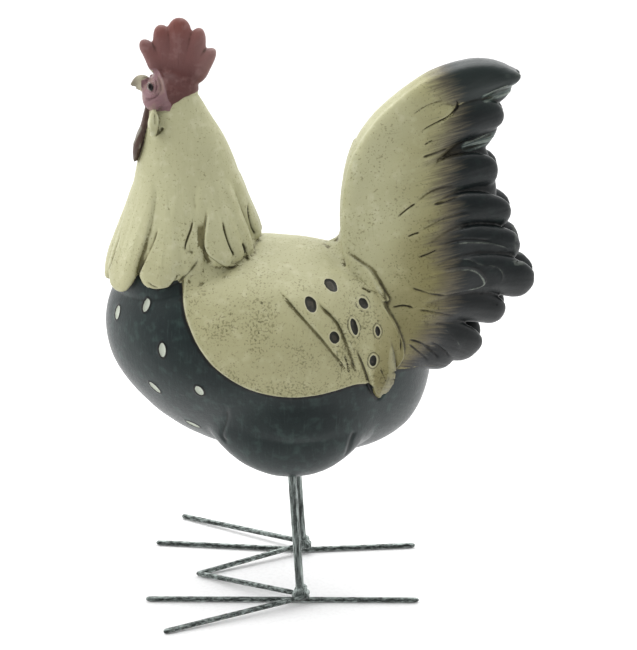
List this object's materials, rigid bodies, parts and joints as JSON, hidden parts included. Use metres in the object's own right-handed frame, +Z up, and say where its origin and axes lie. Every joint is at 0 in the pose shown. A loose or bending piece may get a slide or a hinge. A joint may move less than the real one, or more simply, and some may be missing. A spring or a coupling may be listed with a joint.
{
  "type": "resin rooster figurine",
  "caption": "Standing rooster figurine: a painted, carved resin casting on two metal rod legs with welded wire toes.",
  "frame": {"origin": "on the ground, halfway along the figure and halfway between the tips of its outer toes", "axes": "+Z up, -X where the beak points, -Y the rooster's own left"},
  "size_m": [0.2461, 0.1708, 0.3384],
  "materials": {
    "painted_resin": "antiqued paint under a satin varnish",
    "leg_steel": "dark patina rubbed back to silver"
  },
  "bodies": {
    "root": {"resin_rooster": "painted_resin", "left_leg": "leg_steel", "right_leg": "leg_steel", "left_long_toe": "leg_steel", "right_long_toe": "leg_steel", "left_outer_toe": "leg_steel", "right_outer_toe": "leg_steel", "inner_toes": "leg_steel"}
  },
  "joints": []
}
